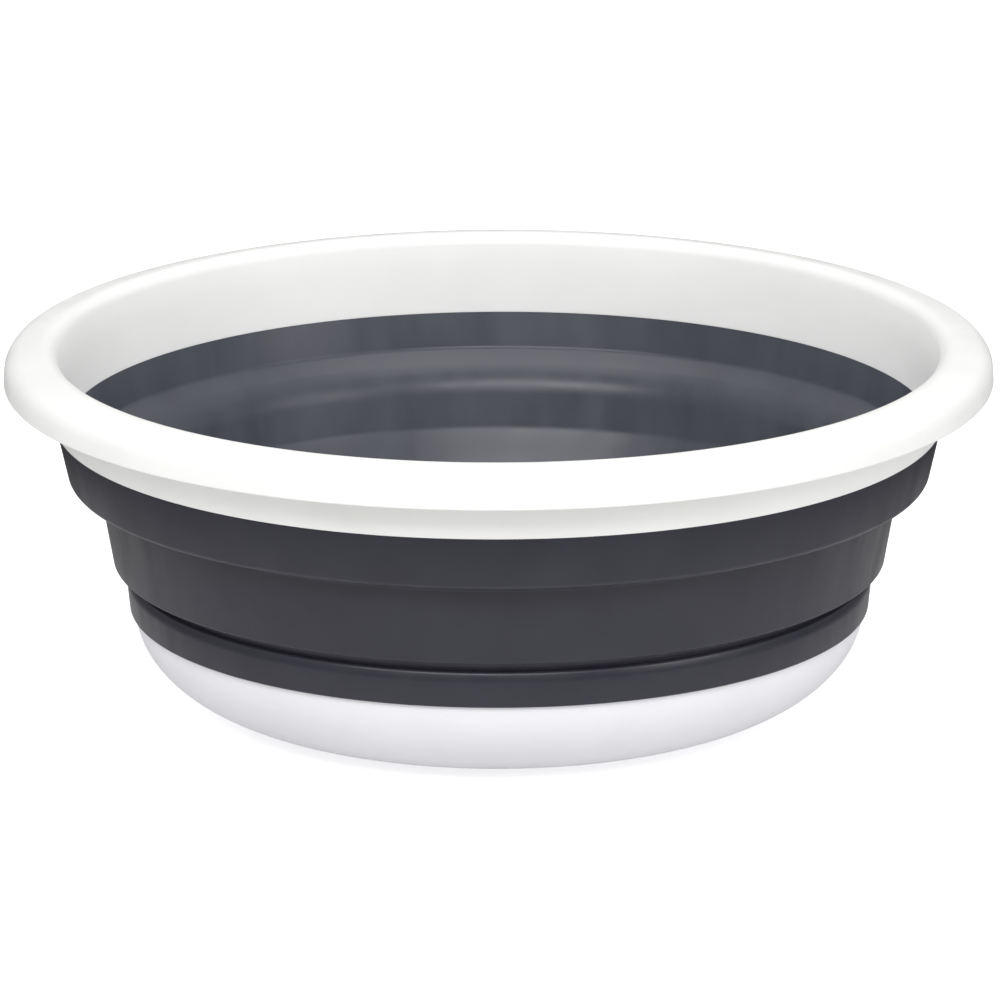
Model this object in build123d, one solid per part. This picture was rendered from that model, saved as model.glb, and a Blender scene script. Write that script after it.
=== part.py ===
from build123d import *
import math
import os

# A round collapsible foot basin: a rolled rim and a rounded base in rigid plastic, joined by a soft
# stepped wall of three tiers that slide down over one another. Every piece is a ring about the Z axis,
# drawn as the closed outline of its section. Millimetres. z = 0 is the surface that the basin stands on.

# ---- driving dimensions ----
HEIGHT = 142.0                 # floor to the crest of the rim
RIM_RADIUS = 190.9             # the rim's lip, the widest part of the basin
COLLAR_FOOT = 111.8            # where the rim's collar ends and the soft wall starts, on the outside
BASE_TOP = 38.2                # where the soft wall ends and the base starts

# ---- rim: a collar, a roll over the top and a lip that hangs free outside ----
ROLL_THICKNESS = 2.4
LIP_FOOT = 128.0               # lower edge of the free lip
SHOULDER_RADIUS = 190.3        # where the top of the roll turns down into the lip
SHOULDER_HEIGHT = HEIGHT - 2.4
CREST_RADIUS = 176.0
CREST_CORNER = HEIGHT + 0.14   # the crest's rounding takes the last of this off
MOUTH_RADIUS = 170.5           # inner edge of the top of the rim
COLLAR_INNER_FOOT = 110.7      # where the collar ends on the inside
COLLAR_WAIST = (168.9, 131.0)  # where the inside of the collar starts to open out
COLLAR_OUTER = 171.2
HOLLOW_INNER = (172.6, 139.2)  # inner and middle corners of the hollow under the roll
HOLLOW_MIDDLE = (176.1, 139.6)
HOLLOW_OUTER_HEIGHT = 137.4

# ---- upper tier: a steep cone that ends in a free lip outside the tier below ----
UPPER_TOP_RADIUS = 170.9
UPPER_LIP_RADIUS = 166.15
UPPER_LIP = 90.5
UPPER_LIP_INNER = 162.8
UPPER_INNER_TOP = 166.8
UPPER_INNER_FOOT = 164.2

# ---- middle tier: a cone of even thickness with a free lip of its own ----
MIDDLE_LIP_RADIUS = 149.15
MIDDLE_LIP = 57.0
MIDDLE_LIP_INNER = 147.2
MIDDLE_THICKNESS = 2.7         # measured level
MIDDLE_SLOPE = math.tan(math.radians(10))      # radius gained for each millimetre of height

# ---- lower tier: an upright band that stands proud of the base ----
LOWER_SHOULDER = 52.6
LOWER_SHOULDER_RADIUS = 143.3
LOWER_BELLY = 49.0
LOWER_BELLY_RADIUS = 144.2
LOWER_FOOT_RADIUS = 143.3
LOWER_INNER_TOP = 139.6
LOWER_INNER_FOOT = 138.7

# ---- base: its outside is a quarter of an ellipse, level where it meets the foot ring ----
BASE_RADIUS = 141.3
BASE_THICKNESS = 2.8
BASE_CENTRE_RADIUS = 84.0      # radius at which the curve becomes the foot ring
FOOT_INNER = 76.0
FOOT_SLOPE = 1.0               # how far the inside of the foot ring leans in as it rises to the recess
FOOT_RECESS = 1.6
FLOOR_TOP = FOOT_RECESS + BASE_THICKNESS

# ---- tongues that the soft wall is moulded round, and the round keys that lock it to them ----
TONGUE_THICKNESS = 1.4
TONGUE_LENGTH = 6.0
RIM_TONGUE_RADIUS = 168.6      # outside of the rim's tongue; the base's is the base's own outside
KEY_RADIUS = 1.5
KEY_COUNT = 24

# ---- low domes on the floor, under the feet ----
DOME_RADIUS = 4.0
DOME_HEIGHT = 1.4
DOME_ROOT = 0.4                # how far each dome is sunk into the floor
DOME_RINGS = ((22.0, 6), (42.0, 12), (62.0, 18))   # radius of each ring of domes, and how many it has


class Web:
    """The sloping wall between two tiers. Its wet face is a cone through a point, at an angle from level."""

    def __init__(self, radius, height, degrees, thickness):
        self.radius = radius
        self.height = height
        self.turn = math.radians(degrees)
        self.thickness = thickness

    def wet(self, radius):
        """The point of the wet face at a radius."""
        return (radius, self.height + (radius - self.radius) * math.tan(self.turn))

    def dry(self, radius):
        """The point of the dry face at a radius."""
        return (radius, self.wet(radius)[1] - self.thickness / math.cos(self.turn))

    def across(self, radius):
        """The point of the dry face square across the wall from the wet face at a radius."""
        return self.dry(radius + self.thickness * math.sin(self.turn))

    def dry_at_height(self, height):
        """The point of the dry face at a height."""
        return ((height - self.dry(0)[1]) / math.tan(self.turn), height)


# The webs fold between two radii of their wet face; the rest of each web is stiff and belongs to a band.
UPPER_WEB = Web(163.0, 95.6, 36.3, thickness=1.8)
UPPER_FOLD = (157.5, 162.0)
LOWER_WEB = Web(140.2, 52.0, 62.2, thickness=1.0)
LOWER_FOLD = (143.5, 145.3)


def ring(corners):
    """A ring about the Z axis. Its section is a closed outline of corners: radius, height and rounding."""
    points = [(radius, height) for radius, height, rounding in corners]
    roundings = [rounding for radius, height, rounding in corners]
    section = make_face(FilletPolyline(*points, radius=roundings, close=True))
    return revolve(Plane.XZ * section, Axis.Z)


def middle_outer(height):
    """Outside radius of the middle tier."""
    return MIDDLE_LIP_RADIUS + (height - MIDDLE_LIP) * MIDDLE_SLOPE


def middle_inner(height):
    """Inside radius of the middle tier."""
    return middle_outer(height) - MIDDLE_THICKNESS


def meeting(face, side):
    """Where a web's face meets a side of the middle tier; both are straight in section."""
    rise = face(1)[1] - face(0)[1]
    height = (face(0)[1] + rise * side(0)) / (1 - rise * MIDDLE_SLOPE)
    return (side(height), height)


def keys(outer, height):
    """The round keys of soft material that pass through a tongue with this outer radius."""
    inner = outer - TONGUE_THICKNESS
    reach = 2 * KEY_RADIUS
    tongue = ring([
        (inner, height - reach, 0), (outer, height - reach, 0),
        (outer, height + reach, 0), (inner, height + reach, 0)])
    pin = Pos(outer, 0, height) * Rot(0, 90, 0) * Cylinder(KEY_RADIUS, 4 * TONGUE_THICKNESS)
    placed = []
    for index in range(KEY_COUNT):
        placed.append(tongue & Rot(0, 0, index * 360 / KEY_COUNT) * pin)
    return placed


RIM_KEYS = (RIM_TONGUE_RADIUS, COLLAR_FOOT - TONGUE_LENGTH / 2)
BASE_KEYS = (BASE_RADIUS, BASE_TOP + TONGUE_LENGTH / 2)


def rim():
    """The rolled rim, with the tongue under its collar."""
    tongue_inner = RIM_TONGUE_RADIUS - TONGUE_THICKNESS
    tongue_foot = COLLAR_FOOT - TONGUE_LENGTH
    body = ring([
        (UPPER_INNER_TOP, COLLAR_INNER_FOOT, 0),
        (*COLLAR_WAIST, 30),
        (MOUTH_RADIUS, HEIGHT - 0.5, 5),
        (CREST_RADIUS, CREST_CORNER, 8),
        (SHOULDER_RADIUS, SHOULDER_HEIGHT, 7.5),
        (RIM_RADIUS, LIP_FOOT, 0.9),
        (RIM_RADIUS - ROLL_THICKNESS, LIP_FOOT, 0.9),
        (SHOULDER_RADIUS - ROLL_THICKNESS, HOLLOW_OUTER_HEIGHT, 5.1),
        (*HOLLOW_MIDDLE, 5.6),
        (*HOLLOW_INNER, 2.4),
        (COLLAR_OUTER, COLLAR_FOOT, 0),
        (RIM_TONGUE_RADIUS, COLLAR_FOOT, 0),
        (RIM_TONGUE_RADIUS, tongue_foot, 0),
        (tongue_inner, tongue_foot, 0),
        (tongue_inner, COLLAR_INNER_FOOT, 0),
    ])
    return body - keys(*RIM_KEYS)


def upper_band():
    """The upper tier of the wall, moulded round the rim's tongue, with the stiff end of the upper web."""
    fold_outer = UPPER_FOLD[1]
    tongue_inner = RIM_TONGUE_RADIUS - TONGUE_THICKNESS
    tongue_foot = COLLAR_FOOT - TONGUE_LENGTH
    body = ring([
        (UPPER_TOP_RADIUS, COLLAR_FOOT, 0),
        (UPPER_LIP_RADIUS, UPPER_LIP, 3.0),
        (UPPER_LIP_INNER - 0.2, UPPER_LIP, 0.5),
        (*UPPER_WEB.dry(UPPER_LIP_INNER), 0.5),
        (*UPPER_WEB.across(fold_outer), 0),
        (*UPPER_WEB.wet(fold_outer), 0),
        (*UPPER_WEB.wet(UPPER_INNER_FOOT), 3.5),
        (UPPER_INNER_TOP, COLLAR_INNER_FOOT, 0),
        (tongue_inner, COLLAR_INNER_FOOT, 0),
        (tongue_inner, tongue_foot, 0),
        (RIM_TONGUE_RADIUS, tongue_foot, 0),
        (RIM_TONGUE_RADIUS, COLLAR_FOOT, 0),
    ])
    return body + keys(*RIM_KEYS)


def fold(web, inner, outer):
    """The part of a web that bends: a thin cone between two radii."""
    return ring([(*web.wet(outer), 0), (*web.across(outer), 0), (*web.across(inner), 0), (*web.wet(inner), 0)])


def upper_fold():
    """The fold between the upper and the middle tier."""
    return fold(UPPER_WEB, *UPPER_FOLD)


def middle_band():
    """The middle tier, from the upper fold down to its own free lip and the lower fold."""
    fold_inner = UPPER_FOLD[0]
    fold_outer = LOWER_FOLD[1]
    return ring([
        (*UPPER_WEB.wet(fold_inner), 0),
        (*UPPER_WEB.across(fold_inner), 0),
        (*meeting(UPPER_WEB.dry, middle_outer), 1.2),
        (MIDDLE_LIP_RADIUS, MIDDLE_LIP, 1.3),
        (MIDDLE_LIP_INNER + 0.1, MIDDLE_LIP, 0.4),
        (*LOWER_WEB.dry(MIDDLE_LIP_INNER), 0.4),
        (*LOWER_WEB.across(fold_outer), 0),
        (*LOWER_WEB.wet(fold_outer), 0),
        (*meeting(LOWER_WEB.wet, middle_inner), 8),
        (*meeting(UPPER_WEB.wet, middle_inner), 17),
    ])


def lower_fold():
    """The fold between the middle and the lower tier."""
    return fold(LOWER_WEB, *LOWER_FOLD)


def lower_band():
    """The lower tier, moulded round the base's tongue, with the stiff end of the lower web."""
    fold_inner = LOWER_FOLD[0]
    tongue_inner = BASE_RADIUS - TONGUE_THICKNESS
    tongue_top = BASE_TOP + TONGUE_LENGTH
    body = ring([
        (*LOWER_WEB.wet(fold_inner), 0),
        (*LOWER_WEB.across(fold_inner), 0),
        (*LOWER_WEB.dry_at_height(LOWER_SHOULDER), 0.2),
        (LOWER_SHOULDER_RADIUS, LOWER_SHOULDER, 2.0),
        (LOWER_BELLY_RADIUS, LOWER_BELLY, 6),
        (LOWER_FOOT_RADIUS, BASE_TOP, 0.8),
        (BASE_RADIUS, BASE_TOP, 0),
        (BASE_RADIUS, tongue_top, 0),
        (tongue_inner, tongue_top, 0),
        (tongue_inner, BASE_TOP, 0),
        (LOWER_INNER_FOOT, BASE_TOP, 0),
        (*LOWER_WEB.wet(LOWER_INNER_TOP), 4),
    ])
    return body + keys(*BASE_KEYS)


def domes():
    """Low caps of a sphere in rings on the floor."""
    sphere_radius = (DOME_RADIUS ** 2 + DOME_HEIGHT ** 2) / (2 * DOME_HEIGHT)
    sphere = Pos(0, 0, FLOOR_TOP + DOME_HEIGHT - sphere_radius) * Sphere(sphere_radius)
    above = Pos(0, 0, FLOOR_TOP - DOME_ROOT + sphere_radius) * Cylinder(2 * sphere_radius, 2 * sphere_radius)
    cap = sphere & above
    placed = []
    for radius, count in DOME_RINGS:
        for index in range(count):
            placed.append(Rot(0, 0, index * 360 / count) * Pos(radius, 0, 0) * cap)
    return placed


def base():
    """The rounded base, with a foot ring, a tongue for the wall and low domes on its floor."""
    centre = (BASE_CENTRE_RADIUS, BASE_TOP)
    width = BASE_RADIUS - BASE_CENTRE_RADIUS
    inner_radius = BASE_RADIUS - BASE_THICKNESS
    tongue_inner = BASE_RADIUS - TONGUE_THICKNESS
    tongue_top = BASE_TOP + TONGUE_LENGTH
    foot = Polyline(
        (0, FLOOR_TOP), (0, FOOT_RECESS), (FOOT_INNER - FOOT_SLOPE, FOOT_RECESS),
        (FOOT_INNER, 0), (BASE_CENTRE_RADIUS, 0))
    outside = EllipticalCenterArc(centre, width, BASE_TOP, start_angle=270, arc_size=90)
    tongue = Polyline(
        (BASE_RADIUS, BASE_TOP), (BASE_RADIUS, tongue_top),
        (tongue_inner, tongue_top), (tongue_inner, BASE_TOP), (inner_radius, BASE_TOP))
    inside = EllipticalCenterArc(
        centre, width - BASE_THICKNESS, BASE_TOP - FLOOR_TOP, start_angle=270, arc_size=90)
    floor = Line((BASE_CENTRE_RADIUS, FLOOR_TOP), (0, FLOOR_TOP))
    body = revolve(Plane.XZ * make_face([foot, outside, tongue, inside, floor]), Axis.Z)
    return body + domes() - keys(*BASE_KEYS)


os.makedirs("parts", exist_ok=True)
for make in (rim, upper_band, upper_fold, middle_band, lower_fold, lower_band, base):
    export_step(make(), f"parts/{make.__name__}.step")
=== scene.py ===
import math

import bmesh
import bpy
from mathutils import Matrix, Vector


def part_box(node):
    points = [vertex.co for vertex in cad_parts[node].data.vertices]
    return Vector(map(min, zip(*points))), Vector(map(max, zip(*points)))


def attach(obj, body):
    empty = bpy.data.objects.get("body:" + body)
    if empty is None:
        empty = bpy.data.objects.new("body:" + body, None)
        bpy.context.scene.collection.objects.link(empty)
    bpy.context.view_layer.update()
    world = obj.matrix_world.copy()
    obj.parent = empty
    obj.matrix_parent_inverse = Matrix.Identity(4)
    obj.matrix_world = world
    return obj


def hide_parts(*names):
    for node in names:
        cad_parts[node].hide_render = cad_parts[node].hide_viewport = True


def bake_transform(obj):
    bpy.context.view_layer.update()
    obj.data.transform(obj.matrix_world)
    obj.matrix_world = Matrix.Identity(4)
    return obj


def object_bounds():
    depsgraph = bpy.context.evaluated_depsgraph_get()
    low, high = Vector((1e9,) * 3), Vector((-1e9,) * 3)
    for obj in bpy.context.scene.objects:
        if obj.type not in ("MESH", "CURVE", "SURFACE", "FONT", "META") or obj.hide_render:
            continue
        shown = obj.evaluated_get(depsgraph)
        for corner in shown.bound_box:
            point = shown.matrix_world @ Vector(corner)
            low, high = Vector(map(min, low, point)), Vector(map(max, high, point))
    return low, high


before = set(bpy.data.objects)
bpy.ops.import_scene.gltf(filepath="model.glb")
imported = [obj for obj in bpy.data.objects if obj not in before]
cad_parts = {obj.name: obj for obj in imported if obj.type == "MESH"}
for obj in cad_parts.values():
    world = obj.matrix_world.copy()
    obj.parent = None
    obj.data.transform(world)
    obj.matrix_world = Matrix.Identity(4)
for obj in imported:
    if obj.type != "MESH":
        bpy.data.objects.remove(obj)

# A round collapsible foot basin on a pale floor, in soft studio light. Every piece is a section swept round
# the Z axis. Sections are in millimetres, as (radius, height) points or (radius, height, rounding) corners.

MM = 0.001
SEGMENTS = 240                       # steps round the axis
ARC_STEP = math.radians(12)          # longest step round a rounding
WALL_THICKNESS = 2.7                 # soft wall of the middle tier
UPPER_HINGE = 1.8                    # soft wall at the upper fold
LOWER_HINGE = 1.0                    # soft wall at the lower fold
FOLD_ROWS = 40                       # rows of faces across a fold

cad_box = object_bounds()


# ---- sizes read from the frame ----

def extent(node):
    """Outer radius, foot and top of a CAD node, in millimetres."""
    low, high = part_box(node)
    return high.x / MM, low.z / MM, high.z / MM


RIM_RADIUS, _, HEIGHT = extent("rim")
WALL_RADIUS, UPPER_LIP, COLLAR_FOOT = extent("upper_band")
MIDDLE_LIP = extent("middle_band")[1]
LOWER_RADIUS, BASE_TOP, _ = extent("lower_band")
BASE_RADIUS = extent("base")[0]
COLLAR_INNER_FOOT = COLLAR_FOOT - 1.1     # the collar reaches a little lower inside than outside


# ---- sections ----

def rounded(corners):
    """The points of a closed outline of corners, each (radius, height, rounding), rounded off."""
    outline = []
    for index, (radius, height, rounding) in enumerate(corners):
        corner = Vector((radius, height))
        if not rounding:
            outline.append(corner)
            continue
        following = corners[(index + 1) % len(corners)]
        back = (Vector(corners[index - 1][:2]) - corner).normalized()
        ahead = (Vector(following[:2]) - corner).normalized()
        half = back.angle(ahead) / 2
        centre = corner + (back + ahead).normalized() * rounding / math.sin(half)
        first = corner + back * rounding / math.tan(half) - centre
        turn = math.copysign(math.pi - 2 * half, ahead.cross(back))
        steps = max(2, math.ceil(abs(turn) / ARC_STEP))
        for step in range(steps + 1):
            outline.append(centre + Matrix.Rotation(turn * step / steps, 2) @ first)
    return outline


def ellipse_quarter(centre, width, depth, outward):
    """Points of a bowl's section from its lowest point up to its widest, or back down."""
    steps = 28
    points = []
    for step in range(steps + 1):
        angle = step / steps * math.pi / 2
        points.append(Vector((centre[0] + width * math.sin(angle), centre[1] - depth * math.cos(angle))))
    return points if outward else points[::-1]


def circle(mesh, radius, height):
    """The vertices of a circle round the Z axis, or the one vertex of a point on it."""
    count = SEGMENTS if radius > 0 else 1
    ring = []
    for index in range(count):
        angle = math.tau * index / count
        spot = (radius * math.cos(angle) * MM, radius * math.sin(angle) * MM, height * MM)
        ring.append(mesh.verts.new(spot))
    return ring


def lathe(name, outline):
    """A closed mesh swept round the Z axis from a closed outline."""
    mesh = bmesh.new()
    rings = [circle(mesh, radius, height) for radius, height in outline]
    for ring, following in zip(rings, rings[1:] + rings[:1]):
        sweep(mesh, ring, following)
    bmesh.ops.recalc_face_normals(mesh, faces=mesh.faces)
    return finished(name, mesh)


def sweep(mesh, ring, following):
    """The faces between two rings; a ring on the axis is one point."""
    if len(ring) == len(following) == 1:
        return
    for index in range(SEGMENTS):
        after = (index + 1) % SEGMENTS
        spots = [ring[index % len(ring)], ring[after % len(ring)],
                 following[after % len(following)], following[index % len(following)]]
        mesh.faces.new(list(dict.fromkeys(spots)))


def finished(name, mesh):
    """The object of a bmesh, smooth apart from its sharp edges."""
    data = bpy.data.meshes.new(name)
    mesh.to_mesh(data)
    mesh.free()
    data.shade_smooth()
    data.set_sharp_from_angle(angle=math.radians(35))
    piece = bpy.data.objects.new(name, data)
    bpy.context.scene.collection.objects.link(piece)
    return piece


class Web:
    """The sloping wall between two tiers. Its wet face is a cone through a point, at an angle from level."""

    def __init__(self, radius, height, degrees, thickness):
        self.radius = radius
        self.height = height
        self.turn = math.radians(degrees)
        self.thickness = thickness

    def wet(self, radius):
        """The point of the wet face at a radius."""
        return (radius, self.height + (radius - self.radius) * math.tan(self.turn))

    def dry(self, radius):
        """The point of the dry face at a radius."""
        return (radius, self.wet(radius)[1] - self.thickness / math.cos(self.turn))

    def across(self, radius):
        """The point of the dry face square across the wall from the wet face at a radius."""
        return self.dry(radius + self.thickness * math.sin(self.turn))

    def dry_at_height(self, height):
        """The point of the dry face at a height."""
        return ((height - self.dry(0)[1]) / math.tan(self.turn), height)


UPPER_WEB = Web(WALL_RADIUS - 7.9, UPPER_LIP + 5.1, 36.3, UPPER_HINGE)
UPPER_FOLD = (WALL_RADIUS - 13.4, WALL_RADIUS - 8.9)
LOWER_WEB = Web(LOWER_RADIUS - 4.0, MIDDLE_LIP - 5.0, 62.2, LOWER_HINGE)
LOWER_FOLD = (LOWER_RADIUS - 0.7, LOWER_RADIUS + 1.1)
MIDDLE_LIP_RADIUS = LOWER_RADIUS + 4.95
MIDDLE_SLOPE = math.tan(math.radians(10))


def middle_outer(height):
    """Outside radius of the middle tier."""
    return MIDDLE_LIP_RADIUS + (height - MIDDLE_LIP) * MIDDLE_SLOPE


def middle_inner(height):
    """Inside radius of the middle tier."""
    return middle_outer(height) - WALL_THICKNESS


def meeting(face, side):
    """Where a web's face meets a side of the middle tier; both are straight in section."""
    rise = face(1)[1] - face(0)[1]
    height = (face(0)[1] + rise * side(0)) / (1 - rise * MIDDLE_SLOPE)
    return (side(height), height)


def rim():
    """The rolled rim, with its lip hanging free outside the collar."""
    roll = 2.4
    shoulder = RIM_RADIUS - 0.6
    lip_foot = HEIGHT - 14
    return lathe("rim_shell", rounded([
        (WALL_RADIUS - 4.1, COLLAR_INNER_FOOT, 0.2),
        (WALL_RADIUS - 2.0, HEIGHT - 11, 30),
        (WALL_RADIUS - 0.4, HEIGHT - 0.5, 5),
        (RIM_RADIUS - 14.9, HEIGHT + 0.14, 8),
        (shoulder, HEIGHT - roll, 7.5),
        (RIM_RADIUS, lip_foot, 0.9),
        (RIM_RADIUS - roll, lip_foot, 0.9),
        (shoulder - roll, HEIGHT - 4.6, 5.1),
        (RIM_RADIUS - 14.8, HEIGHT - 2.4, 5.6),
        (WALL_RADIUS + 1.7, HEIGHT - 2.8, 2.4),
        (WALL_RADIUS + 0.3, COLLAR_FOOT, 0.6),
    ]))


def upper_band():
    """The upper tier of the soft wall, which ends in a free lip."""
    lip_radius = WALL_RADIUS - 4.75
    lip_inner = WALL_RADIUS - 8.1
    foot_radius = WALL_RADIUS - 6.7
    fold_outer = UPPER_FOLD[1]
    return lathe("upper_wall", rounded([
        (WALL_RADIUS, COLLAR_FOOT, 0.3),
        (lip_radius, UPPER_LIP, 3.0),
        (lip_inner - 0.2, UPPER_LIP, 0.5),
        (*UPPER_WEB.dry(lip_inner), 0.5),
        (*UPPER_WEB.across(fold_outer), 0),
        (*UPPER_WEB.wet(fold_outer), 0),
        (*UPPER_WEB.wet(foot_radius), 2.6),
        (WALL_RADIUS - 4.1, COLLAR_INNER_FOOT, 0.2),
    ]))


def middle_band():
    """The middle tier of the soft wall, from the upper fold down to its own free lip."""
    fold_inner = UPPER_FOLD[0]
    fold_outer = LOWER_FOLD[1]
    lip_inner = MIDDLE_LIP_RADIUS - 1.95
    return lathe("middle_wall", rounded([
        (*UPPER_WEB.wet(fold_inner), 0),
        (*UPPER_WEB.across(fold_inner), 0),
        (*meeting(UPPER_WEB.dry, middle_outer), 1.2),
        (MIDDLE_LIP_RADIUS, MIDDLE_LIP, 1.3),
        (lip_inner + 0.1, MIDDLE_LIP, 0.4),
        (*LOWER_WEB.dry(lip_inner), 0.4),
        (*LOWER_WEB.across(fold_outer), 0),
        (*LOWER_WEB.wet(fold_outer), 0),
        (*meeting(LOWER_WEB.wet, middle_inner), 8),
        (*meeting(UPPER_WEB.wet, middle_inner), 17),
    ]))


def lower_band():
    """The lower tier of the soft wall, which stands proud of the base."""
    fold_inner = LOWER_FOLD[0]
    shoulder = MIDDLE_LIP - 4.4
    belly = MIDDLE_LIP - 8.0
    return lathe("lower_wall", rounded([
        (*LOWER_WEB.wet(fold_inner), 0),
        (*LOWER_WEB.across(fold_inner), 0),
        (*LOWER_WEB.dry_at_height(shoulder), 0.2),
        (LOWER_RADIUS - 0.9, shoulder, 2.0),
        (LOWER_RADIUS, belly, 6),
        (BASE_RADIUS + 2.0, BASE_TOP, 0.8),
        (BASE_RADIUS - 2.6, BASE_TOP, 0.2),
        (*LOWER_WEB.wet(LOWER_RADIUS - 4.6), 4),
    ]))


def fold(name, web, inner, outer):
    """The part of a web that bends: its dry face as a sheet, thickened towards the wet side."""
    mesh = bmesh.new()
    spots = [web.across(inner + (outer - inner) * row / FOLD_ROWS) for row in range(FOLD_ROWS + 1)]
    rings = [circle(mesh, radius, height) for radius, height in spots]
    for ring, following in zip(rings, rings[1:]):
        sweep(mesh, ring, following)
    bmesh.ops.recalc_face_normals(mesh, faces=mesh.faces)
    if mesh.faces[:][0].normal.z < 0:
        bmesh.ops.reverse_faces(mesh, faces=mesh.faces)
    piece = finished(name, mesh)
    thicken = piece.modifiers.new("thickness", "SOLIDIFY")
    thicken.thickness = web.thickness * MM
    thicken.offset = 1
    split = piece.modifiers.new("clean_seams", "EDGE_SPLIT")
    split.split_angle = math.radians(60)
    return piece


def base():
    """The rounded base, with a foot ring under it and low domes on its floor."""
    centre = (BASE_RADIUS - 57.3, BASE_TOP)
    width = BASE_RADIUS - centre[0]
    shell = 2.8
    recess = 1.6
    floor = recess + shell
    foot_inner = centre[0] - 8        # the foot ring is flat from here to the start of the round
    outline = [Vector((0, recess))]
    ring_edge = 0.15                  # bevel at the inner edge of the foot ring
    outline += [Vector((foot_inner - 1, recess)), Vector((foot_inner, ring_edge))]
    outline += [Vector((foot_inner + ring_edge, 0))]
    outline += ellipse_quarter(centre, width, BASE_TOP, outward=True)
    outline += ellipse_quarter(centre, width - shell, BASE_TOP - floor, outward=False)
    outline += [Vector((0, floor))]
    body = lathe("base_shell", outline)
    stud = domes(floor)
    union = body.modifiers.new("domes", "BOOLEAN")
    union.operation = "UNION"
    union.solver = "EXACT"
    union.object = stud
    bpy.context.view_layer.update()
    shaped = bpy.data.meshes.new_from_object(body.evaluated_get(bpy.context.evaluated_depsgraph_get()))
    body.modifiers.clear()
    body.data = shaped
    bpy.data.objects.remove(stud)
    shaped.shade_smooth()
    shaped.set_sharp_from_angle(angle=math.radians(22))
    return body


def domes(floor):
    """The low domes on the floor, in rings, as one object of closed caps."""
    radius = 4.0
    height = 1.4
    sphere = (radius ** 2 + height ** 2) / (2 * height)
    rings = ((22.0, 6), (42.0, 12), (62.0, 18))      # radius of each ring of domes, and how many it has
    mesh = bmesh.new()
    steps = 8                         # rings of faces on a dome
    sides = 32                        # faces round a dome
    sunk = 0.4                        # depth of a dome's edge below the floor
    spread = math.acos((sphere - height - sunk) / sphere)
    for ring_radius, count in rings:
        for index in range(count):
            turn = Matrix.Rotation(math.tau * index / count, 3, "Z")
            middle = turn @ Vector((ring_radius, 0, 0))
            previous = [mesh.verts.new((middle + Vector((0, 0, floor + height))) * MM)]
            for step in range(1, steps + 1):
                angle = spread * step / steps
                level = floor + height - sphere + sphere * math.cos(angle)
                reach = sphere * math.sin(angle)
                current = []
                for side in range(sides):
                    around = math.tau * side / sides
                    spot = middle + Vector((reach * math.cos(around), reach * math.sin(around), level))
                    current.append(mesh.verts.new(spot * MM))
                for side in range(sides):
                    after = (side + 1) % sides
                    spots = [previous[side % len(previous)], current[side], current[after],
                             previous[after % len(previous)]]
                    mesh.faces.new(list(dict.fromkeys(spots)))
                previous = current
            mesh.faces.new(previous[::-1])
    bmesh.ops.recalc_face_normals(mesh, faces=mesh.faces)
    return finished("domes", mesh)


# ---- materials ----

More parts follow.
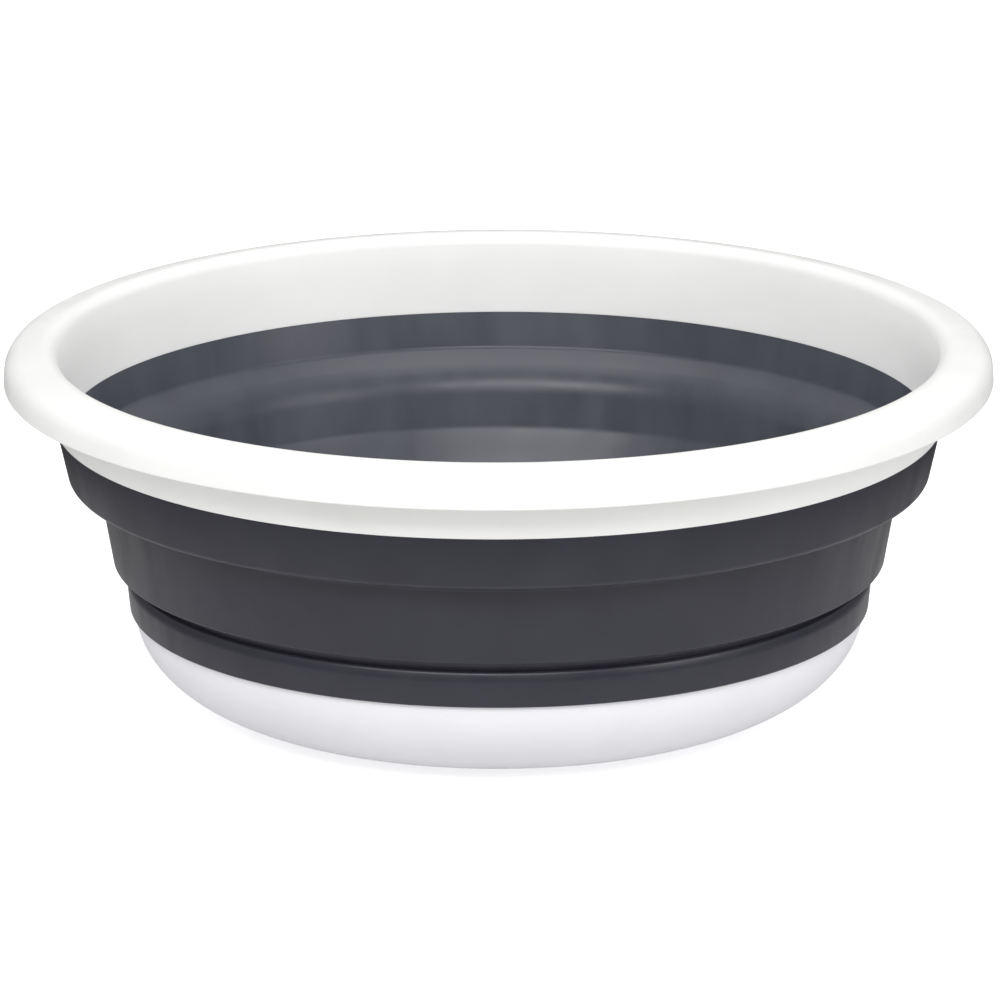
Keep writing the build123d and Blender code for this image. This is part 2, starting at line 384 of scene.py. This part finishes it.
class Material:
    """A node material under construction."""

    def __init__(self, name):
        self.material = bpy.data.materials.new(name)
        self.material.use_nodes = True
        self.nodes = self.material.node_tree.nodes
        self.links = self.material.node_tree.links
        self.shader = self.nodes["Principled BSDF"]
        self.place = self.nodes.new("ShaderNodeTexCoord").outputs["Object"]

    def noise(self, size_mm, detail, stretch=(1, 1, 1)):
        """Noise with features of about a size, longer along an axis where stretch is above 1."""
        mapping = self.nodes.new("ShaderNodeMapping")
        mapping.inputs["Scale"].default_value = [1 / value for value in stretch]
        texture = self.nodes.new("ShaderNodeTexNoise")
        texture.inputs["Scale"].default_value = 1 / (size_mm * MM)
        texture.inputs["Detail"].default_value = detail
        self.links.new(self.place, mapping.inputs["Vector"])
        self.links.new(mapping.outputs["Vector"], texture.inputs["Vector"])
        return texture.outputs["Fac"]

    def spread(self, source, low, high, start=0.3, end=0.7):
        """A number from low to high as the source goes from start to end."""
        node = self.nodes.new("ShaderNodeMapRange")
        node.inputs["From Min"].default_value = start
        node.inputs["From Max"].default_value = end
        node.inputs["To Min"].default_value = low
        node.inputs["To Max"].default_value = high
        self.links.new(source, node.inputs["Value"])
        return node.outputs["Result"]

    def colour(self, source, first, second):
        """A colour between two as the source goes from 0 to 1."""
        node = self.nodes.new("ShaderNodeMix")
        node.data_type = "RGBA"
        node.inputs["A"].default_value = (*first, 1)
        node.inputs["B"].default_value = (*second, 1)
        self.links.new(source, node.inputs["Factor"])
        return node.outputs["Result"]

    def blended(self, factor, first, second):
        """A colour output between two others."""
        node = self.nodes.new("ShaderNodeMix")
        node.data_type = "RGBA"
        self.links.new(factor, node.inputs["Factor"])
        self.links.new(first, node.inputs["A"])
        self.links.new(second, node.inputs["B"])
        return node.outputs["Result"]

    def facing_axis(self):
        """1 where the surface faces the Z axis, 0 where it faces away, and half where it is level."""
        flat = self.nodes.new("ShaderNodeVectorMath")
        flat.operation = "MULTIPLY"
        flat.inputs[1].default_value = (1, 1, 0)
        outward = self.nodes.new("ShaderNodeVectorMath")
        outward.operation = "NORMALIZE"
        facing = self.nodes.new("ShaderNodeVectorMath")
        facing.operation = "DOT_PRODUCT"
        self.links.new(self.place, flat.inputs[0])
        self.links.new(flat.outputs["Vector"], outward.inputs[0])
        self.links.new(outward.outputs["Vector"], facing.inputs[0])
        self.links.new(self.nodes.new("ShaderNodeNewGeometry").outputs["Normal"], facing.inputs[1])
        return self.spread(facing.outputs["Value"], 1, 0, start=-0.3, end=0.3)

    def bump(self, source, depth_mm, under=None):
        """A bump of a depth, on top of another one."""
        node = self.nodes.new("ShaderNodeBump")
        node.inputs["Distance"].default_value = depth_mm * MM
        self.links.new(source, node.inputs["Height"])
        if under:
            self.links.new(under, node.inputs["Normal"])
        return node.outputs["Normal"]

    def shade(self, colour, roughness, normal):
        """The finished material, with these linked to its shader."""
        self.links.new(colour, self.shader.inputs["Base Color"])
        self.links.new(roughness, self.shader.inputs["Roughness"])
        self.links.new(normal, self.shader.inputs["Normal"])
        return self.material


def white_plastic(name, pale, deep):
    """Moulded polypropylene: smooth, faintly cloudy, with a fine even texture."""
    made = Material(name)
    clouds = made.noise(35, 3)
    texture = made.noise(0.7, 2)
    colour = made.colour(made.spread(clouds, 0, 1), pale, deep)
    roughness = made.spread(made.noise(12, 4), 0.30, 0.42)
    made.shader.inputs["IOR"].default_value = 1.49
    made.shader.inputs["Subsurface Weight"].default_value = 0.15
    made.shader.inputs["Subsurface Radius"].default_value = (1.0, 0.95, 0.9)
    made.shader.inputs["Subsurface Scale"].default_value = 2.5 * MM
    return made.shade(colour, roughness, made.bump(texture, 0.012))


def soft_wall():
    """Dark grey elastomer: satin, with soft upright streaks in its bumps and roughness. Inside, where it
    faces the axis, its colour is painted paler as painted light on the inner faces, and the streaks in that
    paler tone are painted sheen.
    """
    made = Material("soft_wall")
    streaks = made.noise(13, 3, stretch=(1, 1, 4))
    clouds = made.noise(22, 4)
    grain = made.noise(1.8, 2)
    wet = made.facing_axis()
    outside = made.colour(made.spread(clouds, 0, 1), (0.022, 0.022, 0.033), (0.027, 0.027, 0.039))
    # painted light: the inner faces are painted paler than the outside, and the streaks in their tone are
    # painted sheen
    painted_lit_inside = made.colour(made.spread(streaks, 0, 1), (0.040, 0.044, 0.058), (0.055, 0.059, 0.077))
    roughness = made.spread(streaks, 0.29, 0.41)
    waves = made.bump(streaks, 0.10)
    made.shader.inputs["IOR"].default_value = 1.55
    return made.shade(made.blended(wet, outside, painted_lit_inside), roughness, made.bump(grain, 0.005, waves))


FLOOR_GLOW = 0.42    # painted glow: light that the floor gives off, though it is no lamp, which lightens the basin's shadow on it


def pale_floor():
    """A pale studio floor with a painted glow, though it is no lamp, which lightens the basin's shadow on it.
    It throws less light at the basin than the paper white that it shows.
    What is glossy sees no glow, and sees a painted pool of light: the floor fades darker away from the basin."""
    made = Material("studio_floor")
    pale = made.colour(made.spread(made.noise(400, 2), 0, 1), (0.96, 0.96, 0.96), (0.975, 0.975, 0.975))
    thrown = made.colour(made.spread(made.noise(400, 2), 0, 1), (0.42, 0.42, 0.42), (0.44, 0.44, 0.44))
    distance = made.nodes.new("ShaderNodeVectorMath")
    distance.operation = "LENGTH"
    made.links.new(made.place, distance.inputs[0])
    reach = RIM_RADIUS * MM
    # painted pool of light: in reflections the floor is bright near the basin and dark beyond twice the rim's
    # reach
    painted_light_pool = made.spread(distance.outputs["Value"], 0, 1, start=reach, end=2 * reach)
    painted_floor_reflection = made.colour(painted_light_pool, (0.65, 0.65, 0.65), (0.03, 0.03, 0.03))
    path = made.nodes.new("ShaderNodeLightPath")
    lit = made.blended(path.outputs["Is Camera Ray"], thrown, pale)
    colour = made.blended(path.outputs["Is Glossy Ray"], lit, painted_floor_reflection)
    # painted glow for every ray but glossy ones, which lightens the shadow under the basin
    painted_floor_glow = made.spread(path.outputs["Is Glossy Ray"], FLOOR_GLOW, 0, start=0, end=1)
    made.shader.inputs["Emission Color"].default_value = (1, 1, 1, 1)
    made.links.new(painted_floor_glow, made.shader.inputs["Emission Strength"])
    roughness = made.spread(made.noise(60, 3), 0.75, 0.85)
    return made.shade(colour, roughness, made.bump(made.noise(3, 2), 0.02))


# ---- the basin ----

RIM_WHITE = white_plastic("rim_plastic", (0.84, 0.84, 0.825), (0.81, 0.81, 0.795))
BASE_WHITE = white_plastic("base_plastic", (0.80, 0.795, 0.83), (0.77, 0.765, 0.80))
WALL_GREY = soft_wall()

rigid = (
    ("rim", rim, "rim", RIM_WHITE, "rim_plastic"),
    ("upper_band", upper_band, "rim", WALL_GREY, "soft_wall"),
    ("middle_band", middle_band, "middle", WALL_GREY, "soft_wall"),
    ("lower_band", lower_band, "base", WALL_GREY, "soft_wall"),
    ("base", base, "base", BASE_WHITE, "base_plastic"),
)
for node, make, body, material, slot in rigid:
    piece = make()
    piece.data.materials.clear()
    piece.data.materials.append(material)
    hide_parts(node)
    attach(piece, body)

folds = (
    ("upper_fold", UPPER_WEB, UPPER_FOLD, "middle", "rim"),
    ("lower_fold", LOWER_WEB, LOWER_FOLD, "base", "middle"),
)
for node, web, (inner, outer), below, above in folds:
    piece = fold(node + "_skin", web, inner, outer)
    piece.data.materials.append(WALL_GREY)
    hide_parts(node)
    foot = web.across(inner)[1]
    top = web.across(outer)[1]
    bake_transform(piece)


# ---- studio ----

FLOOR_RADIUS = 6         # metres
FILL = 0.80              # brightness of the surroundings
MIRRORED_HORIZON = 0.08  # what is glossy sees this at the horizon
MIRRORED_ZENITH = 0.9    # and this overhead


def floor_plane():
    """The floor that the basin stands on."""
    mesh = bmesh.new()
    bmesh.ops.create_circle(mesh, cap_ends=True, radius=FLOOR_RADIUS, segments=96)
    plane = finished("studio_floor", mesh)
    plane.location.z = cad_box[0].z
    plane.data.materials.append(pale_floor())


def softbox(name, spot, target, size, watts):
    """A square area light that faces a target."""
    light = bpy.data.lights.new(name, "AREA")
    light.shape = "RECTANGLE"
    light.size = size[0]
    light.size_y = size[1]
    light.energy = watts
    lamp = bpy.data.objects.new(name, light)
    lamp.location = spot
    lamp.rotation_euler = (Vector(target) - Vector(spot)).to_track_quat("-Z", "Y").to_euler()
    bpy.context.scene.collection.objects.link(lamp)


def world_light():
    """Even white surroundings. What is glossy sees them darker near the horizon, as in a studio."""
    world = bpy.data.worlds.new("studio")
    world.use_nodes = True
    nodes = world.node_tree.nodes
    links = world.node_tree.links
    split = nodes.new("ShaderNodeSeparateXYZ")
    ramp = nodes.new("ShaderNodeMapRange")
    ramp.inputs["From Min"].default_value = 0.0
    ramp.inputs["From Max"].default_value = 0.9
    ramp.inputs["To Min"].default_value = MIRRORED_HORIZON
    ramp.inputs["To Max"].default_value = MIRRORED_ZENITH
    choice = nodes.new("ShaderNodeMix")
    choice.inputs["A"].default_value = FILL
    links.new(nodes.new("ShaderNodeTexCoord").outputs["Generated"], split.inputs["Vector"])
    links.new(split.outputs["Z"], ramp.inputs["Value"])
    links.new(nodes.new("ShaderNodeLightPath").outputs["Is Glossy Ray"], choice.inputs["Factor"])
    links.new(ramp.outputs["Result"], choice.inputs["B"])
    links.new(choice.outputs["Result"], nodes["Background"].inputs["Strength"])
    nodes["Background"].inputs["Color"].default_value = (1, 1, 1, 1)
    bpy.context.scene.world = world


def studio():
    """A wide key softbox in front, one overhead and a weaker one to the right."""
    world_light()
    centre = (0, 0, HEIGHT * MM / 2)
    softbox("key", (-0.25, -1.4, 1.1), centre, (1.8, 0.5), 14)
    softbox("overhead", (0, 0.15, 1.8), centre, (1.4, 1.0), 7)
    softbox("right", (1.4, -0.9, 0.7), centre, (0.8, 0.8), 5)
    bpy.context.scene.view_settings.view_transform = "Standard"


def camera():
    """A long lens a little above the rim, centred on the basin with room above and below."""
    distance = 3.4785
    elevation = math.radians(15.23)
    sight_height = 0.773 * HEIGHT * MM
    aim_height = 0.554 * HEIGHT * MM
    roll = math.radians(-0.15)
    data = bpy.data.cameras.new("camera")
    data.sensor_width = 36
    data.lens = 324
    data.clip_start = 0.1
    data.clip_end = 50
    eye = bpy.data.objects.new("camera", data)
    eye.location = (0, -distance * math.cos(elevation), sight_height + distance * math.sin(elevation))
    aim = Vector((0.0004, 0, aim_height))
    facing = (aim - eye.location).to_track_quat("-Z", "Y").to_matrix() @ Matrix.Rotation(roll, 3, "Z")
    eye.rotation_euler = facing.to_euler()
    bpy.context.scene.collection.objects.link(eye)
    bpy.context.scene.camera = eye


floor_plane()
studio()
camera()

bpy.context.view_layer.update()
